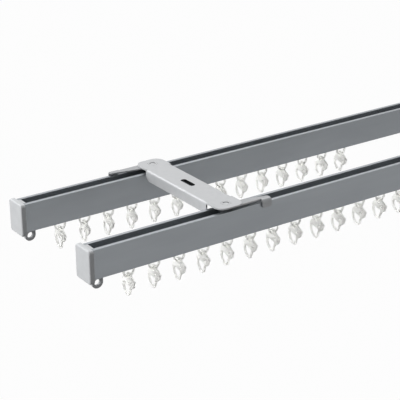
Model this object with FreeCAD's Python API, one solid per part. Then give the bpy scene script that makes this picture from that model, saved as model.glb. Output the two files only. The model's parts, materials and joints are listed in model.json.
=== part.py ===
import FreeCAD, Part
import math
import os

os.makedirs("parts", exist_ok=True)

# Double ceiling curtain track: two box rails, end caps with eyes, two pressed ceiling brackets with
# turn-lock levers, and a row of runners with curtain hooks in each rail. Millimetres, +Z up.
# The origin is the centre of the left bracket's screw slot, on the face that meets the ceiling.
# +X runs along the rails to the right, -Y is the room side.

# Rails
track_length = 700.0        # over both end caps
rail_spacing = 120.0        # between the two rails' centre planes
rail_width = 17.4
rail_height = 27.5
rail_wall = 1.3
rail_edge_radius = 0.7
lip_thickness = 1.5
top_slot = 10.3             # open gap between the top lips
top_channel_depth = 9.6     # from the rail's top to the channel's floor
web_thickness = 1.2
runner_slot = 6.5           # open gap between the bottom lips
runner_channel_height = 7.0

# End caps
cap_thickness = 4.8
cap_width = 23.7
cap_rise = 1.0              # above the rail's top
cap_drop = 2.5              # below the rail's bottom
cap_corner_radius = 3.0
cap_edge_bevel = 0.8
plug_length = 12.0          # in the runner channel
plug_gap = 0.15             # round each plug, inside its channel
top_plug_length = 3.8       # fills the top channel and its slot beside the cap
eye_radius = 5.5
eye_hole_radius = 2.9
eye_thickness = 3.2
eye_reach = 8.1             # from the cap's inner face to the eye's centre
eye_drop = 6.8              # from the rail's bottom to the eye's centre
eye_root_drop = 4.3         # lower edge of the root that joins the eye to the cap

# Ceiling brackets
bracket_inset = 147.0       # from the track's end to the bracket's middle
sheet = 1.3
plate_rise = 5.0            # from the rail's top to the plate's top
plate_width = 28.0
plate_overhang = 10.5       # past the rail's centre plane
plate_corner_radius = 9.0
flange_depth = 10.7
flange_rail_gap = 1.8       # from the flange's end to the rail's side
flange_corner_radius = 6.0
bend_radius = 2.2           # outside of the fold
screw_slot_width = 5.8
screw_slot_length = 19.0

# Rivets that carry the levers
rivet_head_radius = 4.6
rivet_radius = 2.4
rivet_seat_gap = 0.05
rivet_running_gap = 0.08
rivet_dimple_radius = 2.8   # pressed into the head by the riveting tool
rivet_dimple_depth = 0.4
rivet_foot_radius = 3.7
rivet_foot_spread = 3.0     # at the foot's lower face
rivet_foot_height = 1.1

# Levers and their lock keys
lever_gap = 0.2             # below the plate
lever_sheet = 1.5
lever_hub_radius = 7.5
lever_reach = 43.0          # from the pivot to the tip
lever_waist = 13.0          # from the pivot to where the arm has narrowed
lever_waist_far = 1.8       # the arm's inner edge there, past the rail's centre plane
lever_tip_far = 4.0         # the inner edge at the tip, short of the rail's centre plane
claw_width = 10.0
claw_rail_gap = 0.5
claw_depth = 8.2            # from the lever's top to the claw's lower edge
claw_bend_radius = 3.0      # outside of the fold
claw_corner_radius = 2.0
key_square = 7.0            # square boss that turns with the lever
key_square_gap = 0.05
key_collar_radius = 6.5
key_collar_gap = 0.15       # over the rail's top
key_neck_radius = 4.7
key_head_radius = 6.9
key_head_flat = 9.4         # across the two flats, so that it passes the slot when turned
key_head_height = 2.8
key_lip_gap = 0.3

# Runners
runners_per_rail = 14
runner_pitch = 26.0
first_runner = 44.5         # from the track's end
runner_length = 11.0
runner_side_gap = 0.5
runner_seat_gap = 0.3
runner_wing = 2.4
runner_wing_bevel = 1.0
runner_neck_length = 7.0
runner_neck_gap = 0.45
ring_radius = 6.0
ring_hole_radius = 4.2
ring_thickness = 2.2
ring_drop = 4.8             # from the rail's bottom to the ring's centre
ring_sides = 12             # runners and hooks repeat, so their rounds are many-sided

# Hooks
hook_thickness = 2.2
hook_play = 0.4             # round the ring's bar
hook_loop_wall = 1.3
hook_strand = 1.7
hook_eyelet_radius = 1.2
hook_sides = 8
# its corners: out towards the room, or back where negative, and down from the ring's bar
hook_shoulder = (9.9, 3.1)
hook_tab = (8.0, 8.7)
hook_toe = (5.6, 10.6)
hook_heel = (3.6, 11.0)     # where the straight strand leaves the body
hook_crest = (-7.6, 2.1)
hook_crown = (-9.4, 4.9)
hook_back = (-9.2, 8.8)
hook_belly = (-5.9, 17.2)
hook_tip = (-0.6, 18.9)
hook_strand_end = (1.0, 17.9)
hook_opening_front = (1.9, 9.2)
hook_opening_back = (-6.2, 7.7)
hook_eyelet = (3.4, 5.6)

# Places that follow from the sizes above
plate_top = 0.0
plate_bottom = plate_top - sheet
rail_top = plate_top - plate_rise
rail_bottom = rail_top - rail_height
track_left = -bracket_inset
track_right = track_left + track_length
bracket_places = (0.0, track_length - 2 * bracket_inset)
rail_places = {"front": -rail_spacing / 2, "rear": rail_spacing / 2}
inner_half = rail_width / 2 - rail_wall
channel_floor = rail_top - top_channel_depth
runner_channel_low = rail_bottom + lip_thickness
runner_channel_high = runner_channel_low + runner_channel_height
lever_top = plate_bottom - lever_gap
lever_bottom = lever_top - lever_sheet
key_head_top = rail_top - lip_thickness - key_lip_gap
key_head_bottom = key_head_top - key_head_height
ring_middle = rail_bottom - ring_drop
bar_middle = ring_middle - (ring_radius + ring_hole_radius) / 2

X_AXIS = FreeCAD.Vector(1, 0, 0)
Y_AXIS = FreeCAD.Vector(0, 1, 0)
Z_AXIS = FreeCAD.Vector(0, 0, 1)


def block(x, y, z):
    """A box between the two values of each pair."""
    corner = FreeCAD.Vector(x[0], y[0], z[0])
    return Part.makeBox(x[1] - x[0], y[1] - y[0], z[1] - z[0], corner)


def across(size):
    """The two ends of a length centred on zero."""
    return (-size / 2, size / 2)


def drum(radius, height, base, axis=Z_AXIS):
    return Part.makeCylinder(radius, height, FreeCAD.Vector(*base), axis)


def many_sided(radius, height, base, axis, sides, hole=False):
    """A prism with its corners on the radius or, for a hole, with its flats on it."""
    reach = radius / math.cos(math.pi / sides) if hole else radius
    turned = FreeCAD.Rotation(Z_AXIS, axis)
    corners = []
    for number in range(sides + 1):
        angle = 2 * math.pi * (number + 0.5) / sides
        flat = FreeCAD.Vector(reach * math.cos(angle), reach * math.sin(angle), 0)
        corners.append(FreeCAD.Vector(*base) + turned.multVec(flat))
    return Part.Face(Part.makePolygon(corners)).extrude(axis * height)


def round_edges(shape, radius, chosen):
    """Fillets the edges that the test picks."""
    return shape.makeFillet(radius, [edge for edge in shape.Edges if chosen(edge)])


def runs_along(edge, axis):
    """Is this a straight edge along the axis?"""
    if not isinstance(edge.Curve, Part.Line):
        return False
    return abs(edge.Curve.Direction.dot(axis)) > 0.999


def one_solid(shape):
    """A clean solid without the seams that a union leaves."""
    return shape.removeSplitter().Solids[0]


def make_rail():
    """One extruded rail with its open top channel, closed middle chamber and runner channel."""
    length = (track_left + cap_thickness, track_right - cap_thickness)
    rail = block(length, across(rail_width), (rail_bottom, rail_top))
    rail = round_edges(rail, rail_edge_radius, lambda edge: runs_along(edge, X_AXIS))
    chambers = (
        block(length, across(2 * inner_half), (channel_floor, rail_top - lip_thickness)),
        block(length, across(top_slot), (channel_floor, rail_top)),
        block(length, across(2 * inner_half),
              (runner_channel_high + web_thickness, channel_floor - web_thickness)),
        block(length, across(2 * inner_half), (runner_channel_low, runner_channel_high)),
        block(length, across(runner_slot), (rail_bottom, runner_channel_low)),
    )
    for chamber in chambers:
        rail = rail.cut(chamber)
    return one_solid(rail)


def make_left_cap():
    """An end cap: face plate, plugs for both channels, and the eye under the rail."""
    inner_face = track_left + cap_thickness
    cap = block((track_left, inner_face), across(cap_width),
                (rail_bottom - cap_drop, rail_top + cap_rise))
    cap = round_edges(cap, cap_corner_radius, lambda edge: runs_along(edge, X_AXIS))
    cap = cap.makeChamfer(cap_edge_bevel, [edge for edge in cap.Edges
                                           if edge.BoundBox.XMax < track_left + cap_edge_bevel / 2])
    plug_sides = across(2 * (inner_half - plug_gap))
    cap = cap.fuse(block((inner_face, inner_face + plug_length), plug_sides,
                         (runner_channel_low + plug_gap, runner_channel_high - plug_gap)))
    top_plug = (inner_face, inner_face + top_plug_length)
    floor = channel_floor + plug_gap
    cap = cap.fuse(block(top_plug, plug_sides, (floor, rail_top - lip_thickness - plug_gap)))
    cap = cap.fuse(block(top_plug, across(top_slot - 2 * plug_gap), (floor, rail_top)))
    return one_solid(cap.fuse(make_eye(inner_face)))


def make_eye(inner_face):
    """An eye that hangs from the lower plug through the runner slot."""
    eye_x = inner_face + eye_reach
    eye_z = rail_bottom - eye_drop
    sides = across(eye_thickness)
    top = runner_channel_low + plug_gap
    eye = drum(eye_radius, eye_thickness, (eye_x, sides[0], eye_z), Y_AXIS)
    eye = eye.fuse(block((eye_x - eye_radius, eye_x + eye_radius), sides, (eye_z, top)))
    eye = eye.fuse(block((inner_face, eye_x), sides, (rail_bottom - eye_root_drop, top)))
    return eye.cut(drum(eye_hole_radius, eye_thickness, (eye_x, sides[0], eye_z), Y_AXIS))


def make_bracket():
    """A pressed steel plate with a folded flange on each side, a screw slot and two rivet seats."""
    end = rail_spacing / 2 + plate_overhang
    plate = block(across(plate_width), (-end, end), (plate_bottom, plate_top))
    plate = round_edges(plate, plate_corner_radius, lambda edge: runs_along(edge, Z_AXIS))
    fold_end = rail_spacing / 2 - rail_width / 2 - flange_rail_gap
    fold = block(across(plate_width), (-fold_end, fold_end), (plate_top - flange_depth, plate_top))
    # the flat under the folds makes way, so that the folds keep their outside radius
    plate = plate.cut(fold)
    fold = round_edges(fold, bend_radius,
                       lambda edge: runs_along(edge, Y_AXIS) and edge.BoundBox.ZMin > plate_bottom)
    inside = block(across(plate_width - 2 * sheet), (-fold_end, fold_end),
                   (plate_top - flange_depth, plate_bottom))
    inside = round_edges(inside, bend_radius - sheet,
                         lambda edge: runs_along(edge, Y_AXIS)
                         and edge.BoundBox.ZMin > plate_bottom - sheet)
    fold = fold.cut(inside)
    fold = round_edges(fold, flange_corner_radius,
                       lambda edge: runs_along(edge, X_AXIS)
                       and edge.BoundBox.ZMax < plate_top - flange_depth / 2
                       and abs(abs(edge.BoundBox.YMin) - fold_end) < sheet / 2)
    bracket = plate.fuse(fold)
    straight = (screw_slot_length - screw_slot_width) / 2
    slot = block(across(screw_slot_width), (-straight, straight), (plate_bottom, plate_top))
    for y in (-straight, straight):
        slot = slot.fuse(drum(screw_slot_width / 2, sheet, (0, y, plate_bottom)))
    bracket = bracket.cut(slot)
    for y in rail_places.values():
        seat = Part.makeCone(rivet_radius + rivet_seat_gap, rivet_head_radius + rivet_seat_gap,
                             sheet, FreeCAD.Vector(0, y, plate_bottom), Z_AXIS)
        bracket = bracket.cut(seat)
    return one_solid(bracket)


def make_rivet():
    """A flush rivet with a dimpled head and a spread foot under the key."""
    foot_top = key_head_bottom - rivet_running_gap
    foot_bottom = foot_top - rivet_foot_height
    rivet = Part.makeCone(rivet_radius, rivet_head_radius, sheet,
                          FreeCAD.Vector(0, 0, plate_bottom), Z_AXIS)
    rivet = rivet.fuse(drum(rivet_radius, plate_bottom - foot_bottom, (0, 0, foot_bottom)))
    foot = Part.makeCone(rivet_foot_spread, rivet_foot_radius, rivet_foot_height,
                         FreeCAD.Vector(0, 0, foot_bottom), Z_AXIS)
    dimple = drum(rivet_dimple_radius, rivet_dimple_depth, (0, 0, plate_top - rivet_dimple_depth))
    return one_solid(rivet.fuse(foot).cut(dimple))


def make_lever():
    """A flat lever that points to +X from its pivot, with a claw folded over the rail's side."""
    outline = (
        (0, lever_hub_radius),
        (lever_waist, lever_waist_far),
        (lever_reach, -lever_tip_far),
        (lever_reach, -lever_hub_radius),
        (0, -lever_hub_radius),
    )
    points = [FreeCAD.Vector(x, y, lever_bottom) for x, y in outline]
    lever = Part.Face(Part.makePolygon(points + points[:1])).extrude(Z_AXIS * lever_sheet)
    lever = lever.fuse(drum(lever_hub_radius, lever_sheet, (0, 0, lever_bottom)))
    lever = lever.fuse(make_claw()).removeSplitter()
    lever = round_edges(lever, claw_corner_radius,
                        lambda edge: runs_along(edge, Z_AXIS)
                        and edge.BoundBox.XMin > lever_reach - 0.01
                        and edge.BoundBox.YMax > -lever_tip_far - 0.01)
    hole = across(key_square + 2 * key_square_gap)
    return one_solid(lever.cut(block(hole, hole, (lever_bottom, lever_top))))


def make_claw():
    """The lever's outer end, folded down over the rail's side with an even sheet round the bend."""
    claw_in = -(rail_width / 2 + claw_rail_gap)
    claw_out = claw_in - lever_sheet
    claw_low = lever_top - claw_depth
    length = (lever_reach - claw_width, lever_reach)
    claw = block(length, (claw_out, -lever_tip_far), (claw_low, lever_top))
    claw = round_edges(claw, claw_bend_radius,
                       lambda edge: runs_along(edge, X_AXIS)
                       and edge.BoundBox.YMax < claw_in and edge.BoundBox.ZMin > lever_bottom)
    inside = block(length, (claw_in, -lever_tip_far), (claw_low, lever_bottom))
    inside = round_edges(inside, claw_bend_radius - lever_sheet,
                         lambda edge: runs_along(edge, X_AXIS)
                         and edge.BoundBox.YMax < -lever_tip_far - lever_sheet
                         and edge.BoundBox.ZMin > claw_low + lever_sheet)
    claw = claw.cut(inside)
    return round_edges(claw, claw_corner_radius,
                       lambda edge: runs_along(edge, Y_AXIS)
                       and edge.BoundBox.ZMax < claw_low + 0.01)


def make_lock_key():
    """The turn-lock: square boss in the lever, collar over the rail, head under the lips."""
    collar_bottom = rail_top + key_collar_gap
    key = block(across(key_square), across(key_square), (lever_bottom, lever_top))
    key = key.fuse(drum(key_collar_radius, lever_bottom - collar_bottom, (0, 0, collar_bottom)))
    key = key.fuse(drum(key_neck_radius, collar_bottom - key_head_top, (0, 0, key_head_top)))
    head = drum(key_head_radius, key_head_height, (0, 0, key_head_bottom))
    head = head.common(block(across(key_head_flat), across(2 * key_head_radius),
                             (key_head_bottom, key_head_top)))
    key = key.fuse(head)
    bore = drum(rivet_radius + rivet_running_gap, lever_top - key_head_bottom,
                (0, 0, key_head_bottom))
    return one_solid(key.cut(bore))


def make_runner():
    """A moulded runner: two wings on the bottom lips, a neck through the slot, and a ring below."""
    wing_bottom = runner_channel_low + runner_seat_gap
    wing = block(across(runner_length), across(2 * (inner_half - runner_side_gap)),
                 (wing_bottom, wing_bottom + runner_wing))
    wing = wing.makeChamfer(runner_wing_bevel,
                            [edge for edge in wing.Edges
                             if runs_along(edge, Y_AXIS) and edge.BoundBox.ZMin > wing_bottom])
    neck = block(across(runner_neck_length), across(runner_slot - 2 * runner_neck_gap),
                 (ring_middle + ring_hole_radius, wing_bottom))
    centre = (0, -ring_thickness / 2, ring_middle)
    ring = many_sided(ring_radius, ring_thickness, centre, Y_AXIS, ring_sides)
    hole = many_sided(ring_hole_radius, ring_thickness, centre, Y_AXIS, ring_sides, hole=True)
    return one_solid(wing.fuse(neck).fuse(ring).cut(hole))


def make_hook():
    """A flat hook across the rail: loop round the ring's bar, body with an eyelet, long open loop."""
    def at(place):
        out, drop = place
        return FreeCAD.Vector(-hook_thickness / 2, -out, bar_middle - drop)

    def plate(points):
        return Part.Face(Part.makePolygon(points + points[:1])).extrude(X_AXIS * hook_thickness)

    def prism(radius, place, hole=False):
        return many_sided(radius, hook_thickness, at(place), X_AXIS, hook_sides, hole)

    curve = Part.Arc(at(hook_back), at(hook_belly), at(hook_tip)).toShape()
    outside = curve.discretize(hook_sides // 2 + 2)
    middle = curve.Curve.Center
    inwards = 1 - hook_strand / curve.Curve.Radius
    inside = [middle + (point - middle) * inwards for point in outside]

    bar = (0, 0)
    bar_half = (ring_radius - ring_hole_radius) / 2
    loop_hole = math.hypot(bar_half, ring_thickness / 2) + hook_play
    loop_radius = loop_hole + hook_loop_wall
    body = [at(place) for place in (hook_shoulder, hook_tab, hook_toe, hook_heel, hook_back,
                                    hook_crown, hook_crest)]
    body += [at((-loop_radius / 2, -loop_radius / 2)), at((loop_radius * 0.7, -loop_radius / 2))]
    loop = [at(hook_heel)] + outside + [at(hook_strand_end)]
    opening = [at(hook_opening_front), at(hook_opening_back)] + inside
    hook = plate(body).fuse(plate(loop)).cut(plate(opening))
    hook = hook.fuse(prism(loop_radius, bar)).cut(prism(loop_hole, bar, hole=True))
    return one_solid(hook.cut(prism(hook_eyelet_radius, hook_eyelet, hole=True)))


def moved(shape, x=0.0, y=0.0, turn=0.0):
    """A copy turned about the upright axis through the origin, then shifted."""
    copy = shape.copy()
    copy.rotate(FreeCAD.Vector(0, 0, 0), Z_AXIS, turn)
    copy.translate(FreeCAD.Vector(x, y, 0))
    return copy


def mirrored_end(shape):
    """The same piece at the track's other end."""
    middle = FreeCAD.Vector((track_left + track_right) / 2, 0, 0)
    return shape.mirror(middle, X_AXIS)


def save(name, shapes):
    shape = Part.Compound(shapes) if len(shapes) > 1 else shapes[0]
    shape.exportStep(f"parts/{name}.step")


def build_rails():
    rail = make_rail()
    cap = make_left_cap()
    for side, y in rail_places.items():
        save(f"{side}_rail", [moved(rail, y=y)])
        save(f"{side}_left_cap", [moved(cap, y=y)])
        save(f"{side}_right_cap", [moved(mirrored_end(cap), y=y)])


def build_brackets():
    bracket = make_bracket()
    lever = make_lever()
    key = make_lock_key()
    rivet = make_rivet()
    rivets = []
    for place, x in zip(("left", "right"), bracket_places):
        save(f"{place}_bracket", [moved(bracket, x=x)])
        for side, y in rail_places.items():
            turn = 0.0 if side == "front" else 180.0
            save(f"{place}_{side}_lever", [moved(lever, x, y, turn)])
            save(f"{place}_{side}_lock_key", [moved(key, x, y, turn)])
            rivets.append(moved(rivet, x, y))
    save("rivets", rivets)


def build_runners():
    runner = make_runner()
    hook = make_hook()
    for side, y in rail_places.items():
        for number in range(runners_per_rail):
            x = track_left + first_runner + number * runner_pitch
            save(f"{side}_runner_{number + 1:02d}", [moved(runner, x, y), moved(hook, x, y)])


build_rails()
build_brackets()
build_runners()
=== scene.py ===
import bpy
import json
import math
from mathutils import Matrix, Vector


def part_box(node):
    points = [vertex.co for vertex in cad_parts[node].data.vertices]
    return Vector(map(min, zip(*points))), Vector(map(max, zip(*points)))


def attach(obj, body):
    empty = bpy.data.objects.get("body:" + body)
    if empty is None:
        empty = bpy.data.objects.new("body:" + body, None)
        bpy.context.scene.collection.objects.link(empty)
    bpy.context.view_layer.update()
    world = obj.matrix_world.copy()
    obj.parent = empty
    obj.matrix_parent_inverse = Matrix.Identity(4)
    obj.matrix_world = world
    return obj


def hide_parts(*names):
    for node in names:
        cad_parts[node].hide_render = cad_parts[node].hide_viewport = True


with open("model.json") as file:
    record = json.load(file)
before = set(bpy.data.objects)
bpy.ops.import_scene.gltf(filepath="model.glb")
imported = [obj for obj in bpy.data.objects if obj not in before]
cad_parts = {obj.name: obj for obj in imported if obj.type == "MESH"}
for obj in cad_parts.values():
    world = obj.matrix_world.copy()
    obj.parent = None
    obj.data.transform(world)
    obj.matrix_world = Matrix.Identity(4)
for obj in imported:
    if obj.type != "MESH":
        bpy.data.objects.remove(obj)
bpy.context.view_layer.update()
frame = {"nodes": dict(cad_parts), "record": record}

mm = 0.001
print("frame loaded:", len(frame["nodes"]), "nodes")


def linearColour(hexColour):
    # sRGB hex to the linear values that the shader sockets take
    channels = []
    for start in (1, 3, 5):
        c = int(hexColour[start:start + 2], 16) / 255
        channels.append(c / 12.92 if c <= 0.04045 else ((c + 0.055) / 1.055) ** 2.4)
    return (*channels, 1.0)


def addNode(tree, kind, inputs=None, links=None, **settings):
    node = tree.nodes.new(kind)
    for name, value in settings.items():
        setattr(node, name, value)
    for name, value in (inputs or {}).items():
        node.inputs[name].default_value = value
    for name, socket in (links or {}).items():
        tree.links.new(socket, node.inputs[name])
    return node


def newMaterial(name):
    material = bpy.data.materials.new(name)
    material.use_nodes = True
    tree = material.node_tree
    place = addNode(tree, "ShaderNodeTexCoord").outputs["Object"]
    return material, tree, tree.nodes["Principled BSDF"], place


def grain(tree, place, sizes, detail=3.0):
    # noise on Object coordinates; the sizes are one grain's along x, y and z
    scaled = addNode(tree, "ShaderNodeMapping", {"Scale": [1 / size for size in sizes]},
                     {"Vector": place})
    noise = addNode(tree, "ShaderNodeTexNoise", {"Scale": 1.0, "Detail": detail},
                    {"Vector": scaled.outputs["Vector"]})
    return noise.outputs["Fac"]


def paint(tree, shader, pattern, f, low=0.3, high=0.7):
    # the pattern takes the surface from the finish's dark colour to its light one
    ramp = addNode(tree, "ShaderNodeValToRGB", links={"Fac": pattern})
    dark, light = ramp.color_ramp.elements
    dark.position, dark.color = low, linearColour(f["dark"])
    light.position, light.color = high, linearColour(f["light"])
    tree.links.new(ramp.outputs["Color"], shader.inputs["Base Color"])


def roughen(tree, shader, pattern, f):
    low, high = f["roughness"]
    mapped = addNode(tree, "ShaderNodeMapRange", {"To Min": low, "To Max": high},
                     {"Value": pattern})
    tree.links.new(mapped.outputs["Result"], shader.inputs["Roughness"])


def emboss(tree, shader, pattern, f):
    bump = addNode(tree, "ShaderNodeBump", {"Strength": f["relief"], "Distance": f["depth"]},
                   {"Height": pattern})
    tree.links.new(bump.outputs["Normal"], shader.inputs["Normal"])


# Anodised aluminium, extruded: die lines run along X, and the oxide dulls the metal to a soft
# blue grey.
railFinish = {
    "dark": "#92969a", "light": "#979b9f", "metallic": 0.8, "roughness": (0.36, 0.46),
    "cloud": (70 * mm, 16.5 * mm, 16.5 * mm),
    "dieLine": (350 * mm, 0.9 * mm, 0.9 * mm),  # real ones are finer; this is as coarse as shows
    "depth": 0.012 * mm, "relief": 0.35,
}


def anodisedAluminium():
    f = railFinish
    material, tree, shader, place = newMaterial("anodisedAluminium")
    lines = grain(tree, place, f["dieLine"], detail=2.0)
    paint(tree, shader, grain(tree, place, f["cloud"]), f)
    roughen(tree, shader, lines, f)
    emboss(tree, shader, lines, f)
    shader.inputs["Metallic"].default_value = f["metallic"]
    return material


# ABS, moulded with a spark-eroded texture: light grey, matt, a fine even grain.
capFinish = {
    "dark": "#c1c3c5", "light": "#c9cbcd", "roughness": (0.43, 0.57), "ior": 1.52,
    "cloud": 11 * mm, "grit": 0.55 * mm, "depth": 0.02 * mm, "relief": 0.3,
}


def mouldedAbs():
    f = capFinish
    material, tree, shader, place = newMaterial("mouldedAbs")
    grit = grain(tree, place, [f["grit"]] * 3, detail=4.0)
    paint(tree, shader, grain(tree, place, [f["cloud"]] * 3), f)
    roughen(tree, shader, grit, f)
    emboss(tree, shader, grit, f)
    shader.inputs["IOR"].default_value = f["ior"]
    return material


# Zinc-plated sheet steel, pressed: pale silver with a faint mottle and rolling lines.
sheetFinish = {
    "dark": "#b8babc", "light": "#bebfc1", "metallic": 0.13, "roughness": (0.3, 0.36),
    "mottle": 6.25 * mm,
    "rollLine": (1.1 * mm, 55 * mm, 1.1 * mm),  # finer on the real sheet
    "depth": 0.01 * mm, "relief": 0.3,
}

# The levers are of a harder, duller steel. The fold's near-black colour is painted shade: it
# stands in for the shade inside the bracket's fold, holes and the rivets' rims.
leverFinish = {**sheetFinish, "dark": "#9ea0a2", "light": "#a4a5a7", "metallic": 0.35}
paintedShadeFinish = {**sheetFinish, "dark": "#1d1e1f", "light": "#252627", "metallic": 1.0}


def zincPlatedSteel(name, f):
    material, tree, shader, place = newMaterial(name)
    rolling = grain(tree, place, f["rollLine"], detail=2.0)
    paint(tree, shader, grain(tree, place, [f["mottle"]] * 3, detail=4.0), f)
    roughen(tree, shader, rolling, f)
    emboss(tree, shader, rolling, f)
    shader.inputs["Metallic"].default_value = f["metallic"]
    return material


# Rivet steel, headed cold: as pale as the sheet, with the marks of the tool on it.
rivetFinish = {"dark": "#b8babc", "light": "#c3c4c6", "metallic": 0.2, "roughness": (0.3, 0.44),
               "mark": 1.4 * mm}


def rivetSteel():
    f = rivetFinish
    material, tree, shader, place = newMaterial("rivetSteel")
    marks = grain(tree, place, [f["mark"]] * 3)
    paint(tree, shader, marks, f)
    roughen(tree, shader, marks, f)
    shader.inputs["Metallic"].default_value = f["metallic"]
    return material


# Acetal, moulded and dyed dark: smooth, slightly waxy.
keyFinish = {"dark": "#3b3d40", "light": "#46484b", "roughness": (0.33, 0.43), "ior": 1.48,
             "cloud": 4 * mm}


def darkAcetal():
    f = keyFinish
    material, tree, shader, place = newMaterial("darkAcetal")
    cloud = grain(tree, place, [f["cloud"]] * 3)
    paint(tree, shader, cloud, f)
    roughen(tree, shader, cloud, f)
    shader.inputs["IOR"].default_value = f["ior"]
    return material


# Natural nylon, injection moulded: milky, lets light through, thicker parts look greyer. Its IOR
# is 1.53, but the milk in it spreads light instead of bending it, so that a low one looks right.
nylonFinish = {
    "dark": "#f2f2f0", "light": "#fafaf8", "roughness": (0.49, 0.61), "ior": 1.03,
    "flow": 2.5 * mm, "clearness": 0.5, "depthOfLight": 3.0 * mm,
}


def naturalNylon():
    f = nylonFinish
    material, tree, shader, place = newMaterial("naturalNylon")
    flow = grain(tree, place, [f["flow"]] * 3, detail=2.0)
    paint(tree, shader, flow, f)
    roughen(tree, shader, flow, f)
    shader.inputs["IOR"].default_value = f["ior"]
    shader.inputs["Transmission Weight"].default_value = f["clearness"]
    shader.subsurface_method = "BURLEY"     # smoother than a random walk on thin pieces
    shader.inputs["Subsurface Weight"].default_value = 1.0
    shader.inputs["Subsurface Scale"].default_value = f["depthOfLight"]
    shader.inputs["Subsurface Radius"].default_value = (1.0, 1.0, 1.0)
    return material


rail, plastic = anodisedAluminium(), mouldedAbs()
zinc = zincPlatedSteel("zincPlatedSteel", sheetFinish)
leverZinc = zincPlatedSteel("leverSteel", leverFinish)
# the near-black material of the painted shade in the bracket's fold, holes and the rivets' rims
paintedShadeSteel = zincPlatedSteel("paintedFoldShade", paintedShadeFinish)
rivet, acetal, nylon = rivetSteel(), darkAcetal(), naturalNylon()
print("materials made")


def onlySelect(piece):
    bpy.ops.object.select_all(action="DESELECT")
    piece.select_set(True)
    bpy.context.view_layer.objects.active = piece


def applyModifier(piece, kind, **settings):
    onlySelect(piece)
    modifier = piece.modifiers.new(kind.lower(), kind)
    for name, value in settings.items():
        setattr(modifier, name, value)
    bpy.ops.object.modifier_apply(modifier=modifier.name)


def bevelEdges(piece, width, steps, above):
    # only the edges that turn by more than so many degrees
    applyModifier(piece, "BEVEL", width=width, segments=steps, limit_method="ANGLE",
                  angle_limit=math.radians(above))


def united(piece, other):
    # one closed skin, with nothing of either piece left inside the other
    applyModifier(piece, "BOOLEAN", operation="UNION", solver="EXACT", object=other)
    bpy.data.objects.remove(other)
    return piece


def smoothFaces(piece, degrees):
    onlySelect(piece)
    bpy.ops.object.shade_smooth_by_angle(angle=math.radians(degrees))


softening = {
    "merge": 0.005 * mm,
    "flatBelow": 1.0, "bevelAbove": 28, "smoothBelow": 32,      # degrees
}


def softenedCopy(node, name, edge, steps):
    # the node's own shape, with its sharp edges rounded as tooling and handling leave them
    s = softening
    cad = frame["nodes"][node]
    piece = bpy.data.objects.new(name, cad.data.copy())
    bpy.context.scene.collection.objects.link(piece)
    onlySelect(piece)
    bpy.ops.object.mode_set(mode="EDIT")
    bpy.ops.mesh.select_all(action="SELECT")
    bpy.ops.mesh.remove_doubles(threshold=s["merge"])
    bpy.ops.mesh.dissolve_limited(angle_limit=math.radians(s["flatBelow"]))
    bpy.ops.object.mode_set(mode="OBJECT")
    bevelEdges(piece, edge, steps, s["bevelAbove"])
    smoothFaces(piece, s["smoothBelow"])
    applyModifier(piece, "WEIGHTED_NORMAL", keep_sharp=True, weight=100)
    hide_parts(node)
    return piece


def dress(piece, material, slot, body):
    piece.data.materials.clear()
    piece.data.materials.append(material)
    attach(piece, body)


def bodyOf(node):
    return next(body for body, nodes in frame["record"]["behaviour"]["bodies"].items()
                if node in nodes)


# keyed by how the nodes' names end
fixedPieces = {
    "_rail": {"edge": 0.22 * mm, "steps": 2, "material": rail, "slot": "anodised_aluminium"},
    "_cap": {"edge": 0.45 * mm, "steps": 3, "material": plastic, "slot": "grey_plastic"},
    "_bracket": {"edge": 0.4 * mm, "steps": 3, "material": zinc, "slot": "bright_zinc_steel"},
    "_lever": {"edge": 0.28 * mm, "steps": 2, "material": leverZinc, "slot": "bright_zinc_steel"},
    "_lock_key": {"edge": 0.2 * mm, "steps": 2, "material": acetal, "slot": "lock_plastic"},
    "rivets": {"edge": 0.15 * mm, "steps": 2, "material": rivet, "slot": "rivet_steel"},
}

# where the painted shade goes: sizes of the bracket's fold and holes, and of the rivets' rims and
# dimples
paintedShadeSizes = {
    "sheet": 1.3 * mm,
    "foldSide": 0.9, "foldTop": 1.1,        # in sheets from the bracket's sides and top
    "holes": (5.5 * mm, 66 * mm),           # from the bracket's middle: screw slot, rivet seats
    "holeWall": (0.02, 0.95),               # in sheets from the top
    "headRadius": 4.6 * mm, "rim": 0.5 * mm,
    "dimple": 0.4 * mm,
    "dimpleWall": (0.05, 0.95),             # in dimples from the top
}


def inWall(z, top, depth, shares):
    return top - depth * shares[1] < z < top - depth * shares[0]


# faces of the bracket that get painted shade: the fold's inside and the walls of the screw slot
# and rivet seats
def paintedShadeInBracket(low, high):
    s = paintedShadeSizes
    middle = (low + high) / 2
    side, top = s["sheet"] * s["foldSide"], s["sheet"] * s["foldTop"]

    def test(place):
        inFold = low.x + side < place.x < high.x - side and place.z < high.z - top
        atHoles = (abs(place.x - middle.x) < s["holes"][0]
                   and abs(place.y - middle.y) < s["holes"][1])
        return inFold or atHoles and inWall(place.z, high.z, s["sheet"], s["holeWall"])
    return test


# faces of the rivets that get painted shade: the rims of their heads and the walls of their
# dimples
def paintedShadeOnRivets(low, high):
    s = paintedShadeSizes
    radius = s["headRadius"]
    heads = [Vector((x, y, 0)) for x in (low.x + radius, high.x - radius)
             for y in (low.y + radius, high.y - radius)]

    def test(place):
        fromHead = min((place - head).xy.length for head in heads)
        return fromHead > radius - s["rim"] or inWall(place.z, high.z, s["dimple"],
                                                      s["dimpleWall"])
    return test


def paintShadeInside(piece, node):
    # painted shade, near black: on the fold's inside, the holes and the rivets' rims, where shade
    # falls
    if node.endswith("_bracket"):
        inPaintedShade = paintedShadeInBracket(*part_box(node))
    elif node == "rivets":
        inPaintedShade = paintedShadeOnRivets(*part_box(node))
    else:
        return
    piece.data.materials.append(paintedShadeSteel)
    for face in piece.data.polygons:
        if inPaintedShade(face.center):
            face.material_index = 1


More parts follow.
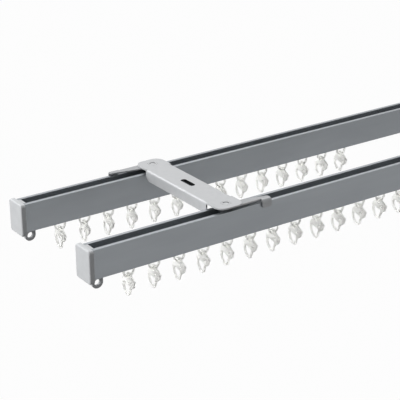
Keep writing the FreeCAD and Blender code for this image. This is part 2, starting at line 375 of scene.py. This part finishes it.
for node in sorted(frame["nodes"]):
    for ending, p in fixedPieces.items():
        if node.endswith(ending):
            piece = softenedCopy(node, "soft_" + node, p["edge"], p["steps"])
            dress(piece, p["material"], p["slot"], bodyOf(node))
            # paints near-black shade into the bracket's fold and holes and the rivets' rims
            paintShadeInside(piece, node)
print("rails, caps, brackets, levers, keys and rivets made")


runnerSizes = {
    "count": 14,
    "wing": (11.0 * mm, 13.8 * mm, 2.4 * mm),
    "wingRise": 1.8 * mm,       # above the rail's lower side
    "wingInset": 1.5 * mm,
    "neck": (7.0 * mm, 5.6 * mm),
    "neckTip": 1.0 * mm,        # how far the neck goes on into the ring, getting smaller
    "neckTaper": (0.7, 0.45),
    "ringDrop": 4.8 * mm,       # the ring's middle, below the rail's lower side
    "ringMiddle": 5.1 * mm,     # radius of the ring's centre line
    "ringHalf": (0.95 * mm, 1.1 * mm),      # radially and across
    "ringSteps": (36, 10),
    "edge": 0.35 * mm, "edgeSteps": 2, "bevelAbove": 30,
}

hookSizes = {
    "half": 1.1 * mm, "edge": 0.38 * mm,
    "bossHalf": 1.45 * mm, "bossEdge": 0.3 * mm,
    # the rest in millimetres: towards the room, down from the ring's bar, and a radius
    "hole": (0, 0, 1.82),
    "boss": (0, 0, 2.95),
    "eyelet": (3.4, 5.6, 1.15),
    "outline": (
        (3.0, -1.05, 0.5), (9.9, 3.1, 1.3), (8.0, 8.7, 1.0), (5.6, 10.6, 0.6), (3.6, 11.0, 0.5),
        (0.62, 18.9, 1.1), (-4.66, 18.98, 8.5), (-9.93, 12.79, 8.5), (-9.4, 4.9, 3.0),
        (-7.6, 2.1, 2.0), (-3.0, -0.7, 0.5), (-3.12, -3.12, 2.2), (3.12, -3.12, 2.2),
    ),
    "opening": (
        (2.3, 9.3, 0.9), (-0.15, 17.6, 0.5), (-4.1, 17.7, 7.2), (-8.6, 12.35, 7.2),
        (-7.0, 6.9, 1.0),
    ),
    "circleCorners": 8,
    "arcShare": 0.46,           # of the shorter side at a corner, the most that its arc takes
    "arcSteps": 5, "rimSteps": 2,
}


def roundedSpline(curve, corners):
    # a closed spline with an arc at each corner, tangent to both of its sides
    points = [Vector((-out, -down)) * mm for out, down, radius in corners]
    knots = []
    for number, (out, down, radius) in enumerate(corners):
        here = points[number]
        back = points[number - 1] - here
        ahead = points[(number + 1) % len(points)] - here
        sweep = math.pi - back.angle(ahead)
        room = hookSizes["arcShare"] * min(back.length, ahead.length)
        reach = min(radius * mm * math.tan(sweep / 2), room)
        pull = reach * (1 - 4 / 3 * math.tan(sweep / 4) / math.tan(sweep / 2))
        back.normalize()
        ahead.normalize()
        knots.append((here + back * reach, here + back * pull, "VECTOR", "FREE"))
        knots.append((here + ahead * reach, here + ahead * pull, "FREE", "VECTOR"))
    spline = curve.splines.new("BEZIER")
    spline.bezier_points.add(len(knots) - 1)
    spline.use_cyclic_u = True
    spline.resolution_u = hookSizes["arcSteps"]
    for point, (place, handle, leftType, rightType) in zip(spline.bezier_points, knots):
        point.co = place.to_3d()
        point.handle_left_type, point.handle_right_type = leftType, rightType
        point.handle_left = point.handle_right = handle.to_3d()


def circleCorners(out, down, radius):
    corners = hookSizes["circleCorners"]
    reach = radius / math.cos(math.pi / corners)
    angles = [2 * math.pi * number / corners for number in range(corners)]
    return [(out + reach * math.cos(a), down + reach * math.sin(a), radius) for a in angles]


def flatPlate(name, outlines, half, edge):
    # a filled flat curve with a rounded rim, made a mesh and stood up across the rail
    curve = bpy.data.curves.new(name, "CURVE")
    curve.dimensions = "2D"
    curve.fill_mode = "BOTH"
    curve.extrude = half - edge
    curve.bevel_depth = edge
    curve.offset = -edge
    curve.bevel_resolution = hookSizes["rimSteps"]
    for corners in outlines:
        roundedSpline(curve, corners)
    plate = bpy.data.objects.new(name, curve)
    bpy.context.scene.collection.objects.link(plate)
    onlySelect(plate)
    bpy.ops.object.convert(target="MESH")
    plate = bpy.context.view_layer.objects.active
    plate.rotation_euler = (math.radians(90), 0, math.radians(90))
    bpy.ops.object.transform_apply(location=False, rotation=True, scale=False)
    return plate


def selectByNormal(piece, test):
    # only the faces whose normal passes the test, with the piece in edit mode afterwards
    onlySelect(piece)
    bpy.ops.object.mode_set(mode="EDIT")
    bpy.ops.mesh.select_mode(type="FACE")
    bpy.ops.mesh.select_all(action="DESELECT")
    bpy.ops.object.mode_set(mode="OBJECT")
    for face in piece.data.polygons:
        face.select = test(face.normal)
    bpy.ops.object.mode_set(mode="EDIT")


def makeRunner(wingBottom, ringMiddle):
    s = runnerSizes
    length, width, height = s["wing"]
    bpy.ops.object.select_all(action="DESELECT")
    bpy.ops.mesh.primitive_cube_add(size=1, location=(0, 0, wingBottom + height / 2),
                                    scale=(length, width, height))
    runner = bpy.context.active_object
    bpy.ops.object.transform_apply(location=True, rotation=False, scale=True)
    selectByNormal(runner, lambda normal: normal.z < -0.9)
    bpy.ops.mesh.inset(thickness=s["wingInset"])
    bpy.ops.transform.resize(value=(s["neck"][0] / (length - 2 * s["wingInset"]),
                                    s["neck"][1] / (width - 2 * s["wingInset"]), 1))
    neckLength = ringMiddle + s["ringMiddle"] - wingBottom
    bpy.ops.mesh.extrude_region_move(TRANSFORM_OT_translate={"value": (0, 0, neckLength)})
    bpy.ops.mesh.extrude_region_move(TRANSFORM_OT_translate={"value": (0, 0, -s["neckTip"])})
    bpy.ops.transform.resize(value=(*s["neckTaper"], 1))
    bpy.ops.object.mode_set(mode="OBJECT")
    bevelEdges(runner, s["edge"], s["edgeSteps"], s["bevelAbove"])

    bpy.ops.object.select_all(action="DESELECT")
    bpy.ops.mesh.primitive_torus_add(
        location=(0, 0, ringMiddle), rotation=(math.radians(90), 0, 0),
        major_segments=s["ringSteps"][0], minor_segments=s["ringSteps"][1],
        major_radius=s["ringMiddle"], minor_radius=s["ringHalf"][0])
    ring = bpy.context.active_object
    bpy.ops.object.transform_apply(location=True, rotation=True, scale=False)
    bpy.ops.object.mode_set(mode="EDIT")
    bpy.ops.mesh.select_all(action="SELECT")
    bpy.ops.transform.resize(value=(1, s["ringHalf"][1] / s["ringHalf"][0], 1))
    bpy.ops.object.mode_set(mode="OBJECT")
    return united(runner, ring)


def makeHook(barMiddle):
    s = hookSizes
    hole = circleCorners(*s["hole"])
    outlines = (s["outline"], s["opening"], hole, circleCorners(*s["eyelet"]))
    hook = flatPlate("hookPlate", outlines, s["half"], s["edge"])
    boss = flatPlate("hookBoss", (circleCorners(*s["boss"]), hole), s["bossHalf"], s["bossEdge"])
    for plate in (hook, boss):
        plate.location = (0, 0, barMiddle)
        onlySelect(plate)
        bpy.ops.object.transform_apply(location=True, rotation=False, scale=False)
    return united(hook, boss)


def joined(pieces, name, merge=0.002 * mm, smoothBelow=40):
    bpy.ops.object.select_all(action="DESELECT")
    for piece in pieces:
        piece.select_set(True)
    bpy.context.view_layer.objects.active = pieces[0]
    bpy.ops.object.join()
    whole = bpy.context.view_layer.objects.active
    whole.name = name
    onlySelect(whole)
    bpy.ops.object.mode_set(mode="EDIT")
    bpy.ops.mesh.select_all(action="SELECT")
    bpy.ops.mesh.remove_doubles(threshold=merge)
    bpy.ops.mesh.normals_make_consistent(inside=False)
    bpy.ops.object.mode_set(mode="OBJECT")
    smoothFaces(whole, smoothBelow)
    return whole


# a runner with its hook, modelled once below the middle of a rail, then copied to each place
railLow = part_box("front_rail")[0].z
ringMiddle = railLow - runnerSizes["ringDrop"]
runner = makeRunner(railLow + runnerSizes["wingRise"], ringMiddle)
hook = makeHook(ringMiddle - runnerSizes["ringMiddle"])
pattern = joined([runner, hook], "runnerPattern")

for side in ("front", "rear"):
    railMiddle = sum(corner.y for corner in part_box(side + "_rail")) / 2
    for number in range(1, runnerSizes["count"] + 1):
        node = f"{side}_runner_{number:02d}"
        low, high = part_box(node)
        piece = bpy.data.objects.new("moulded_" + node, pattern.data.copy())
        bpy.context.scene.collection.objects.link(piece)
        piece.data.transform(Matrix.Translation(((low.x + high.x) / 2, railMiddle, 0)))
        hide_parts(node)
        dress(piece, nylon, "white_nylon", node)
bpy.data.objects.remove(pattern)
print("runners and hooks made")


stageSizes = {
    "floorDrop": 2.4, "floorSize": 40.0,        # the track hangs from a room's ceiling
    "floorColour": "#404040",
    "floorShown": 0.98, "floorMirrored": 0.95,  # to the camera, and in gloss
    "worldLight": 0.38, "worldMirrored": 0.9,
}


def seenRays(tree, mirroredShare):
    # all of the camera's and the transmitted rays, and a share of the mirrored ones
    ray = addNode(tree, "ShaderNodeLightPath")
    direct = addNode(tree, "ShaderNodeMath", operation="MAXIMUM", links={
        0: ray.outputs["Is Camera Ray"], 1: ray.outputs["Is Transmission Ray"]})
    mirrored = addNode(tree, "ShaderNodeMath", {1: mirroredShare},
                       {0: ray.outputs["Is Glossy Ray"]}, operation="MULTIPLY")
    return direct.outputs[0], mirrored.outputs[0]


def paleFloor():
    s = stageSizes
    bpy.ops.object.select_all(action="DESELECT")
    bpy.ops.mesh.primitive_plane_add(size=s["floorSize"], location=(0, 0, -s["floorDrop"]))
    floor = bpy.context.active_object
    floor.name = "paleFloor"
    material = bpy.data.materials.new("paleFloor")
    material.use_nodes = True
    tree = material.node_tree
    tree.nodes.remove(tree.nodes["Principled BSDF"])
    matt = addNode(tree, "ShaderNodeBsdfDiffuse", {"Color": linearColour(s["floorColour"])})
    white = addNode(tree, "ShaderNodeEmission", {"Color": (1, 1, 1, 1), "Strength": 1.0})
    direct, mirrored = seenRays(tree, s["floorMirrored"])
    seen = addNode(tree, "ShaderNodeMath", {1: s["floorShown"]}, {0: direct, 2: mirrored},
                   operation="MULTIPLY_ADD")
    mix = addNode(tree, "ShaderNodeMixShader", links={
        0: seen.outputs[0], 1: matt.outputs[0], 2: white.outputs[0]})
    tree.links.new(mix.outputs[0], tree.nodes["Material Output"].inputs["Surface"])
    floor.data.materials.append(material)


def whiteWorld():
    s = stageSizes
    world = bpy.data.worlds.new("studio")
    bpy.context.scene.world = world
    world.use_nodes = True
    tree = world.node_tree
    soft = tree.nodes["Background"]
    soft.inputs["Color"].default_value = (1, 1, 1, 1)
    soft.inputs["Strength"].default_value = s["worldLight"]
    shown = addNode(tree, "ShaderNodeBackground", {"Color": (1, 1, 1, 1), "Strength": 1.0})
    direct, mirrored = seenRays(tree, s["worldMirrored"])
    seen = addNode(tree, "ShaderNodeMath", links={0: direct, 1: mirrored}, operation="MAXIMUM")
    mix = addNode(tree, "ShaderNodeMixShader", links={
        0: seen.outputs[0], 1: soft.outputs[0], 2: shown.outputs[0]})
    tree.links.new(mix.outputs[0], tree.nodes["World Output"].inputs["Surface"])


softLamps = {
    "topPanel": {"place": (0.3, 0.8, 1.5), "target": (0.2, 0, 0), "size": (2.0, 1.0),
                 "power": 18},
    "leftPanel": {"place": (-1.9, 0.6, 0.5), "target": (0.1, 0, 0), "size": (1.0, 1.2),
                  "power": 32},
    # shines in the folds
    "backPanel": {"place": (-0.7, 1.5, 1.0), "target": (0.05, 0, 0), "size": (0.5, 0.5),
                  "power": 5.5},
}


def addLamp(name, place, target, size, power):
    lamp = bpy.data.lights.new(name, "AREA")
    lamp.shape = "RECTANGLE"
    lamp.size, lamp.size_y = size
    lamp.energy = power
    holder = bpy.data.objects.new(name, lamp)
    bpy.context.scene.collection.objects.link(holder)
    holder.location = place
    holder.rotation_euler = (Vector(target) - Vector(place)).to_track_quat("-Z", "Y").to_euler()


cameraSizes = {
    "place": (-0.63180, -0.94047, 0.45516),
    "lens": 119.57, "sensor": 36.0,
    "near": 0.01, "far": 40,
    "yaw": 34.452, "pitch": 22.648, "roll": -0.505,     # degrees
}


def photoCamera():
    s = cameraSizes
    data = bpy.data.cameras.new("photoCamera")
    data.lens, data.sensor_width = s["lens"], s["sensor"]
    data.clip_start, data.clip_end = s["near"], s["far"]
    camera = bpy.data.objects.new("photoCamera", data)
    bpy.context.scene.collection.objects.link(camera)
    turn = (Matrix.Rotation(math.radians(-s["yaw"]), 4, "Z")
            @ Matrix.Rotation(math.radians(90 - s["pitch"]), 4, "X")
            @ Matrix.Rotation(math.radians(s["roll"]), 4, "Z"))
    camera.matrix_world = Matrix.Translation(s["place"]) @ turn
    bpy.context.scene.camera = camera


paleFloor()
whiteWorld()
for name, lamp in softLamps.items():
    addLamp(name, **lamp)
photoCamera()
bpy.context.scene.view_settings.view_transform = "Standard"
print("stage, lamps and camera made")
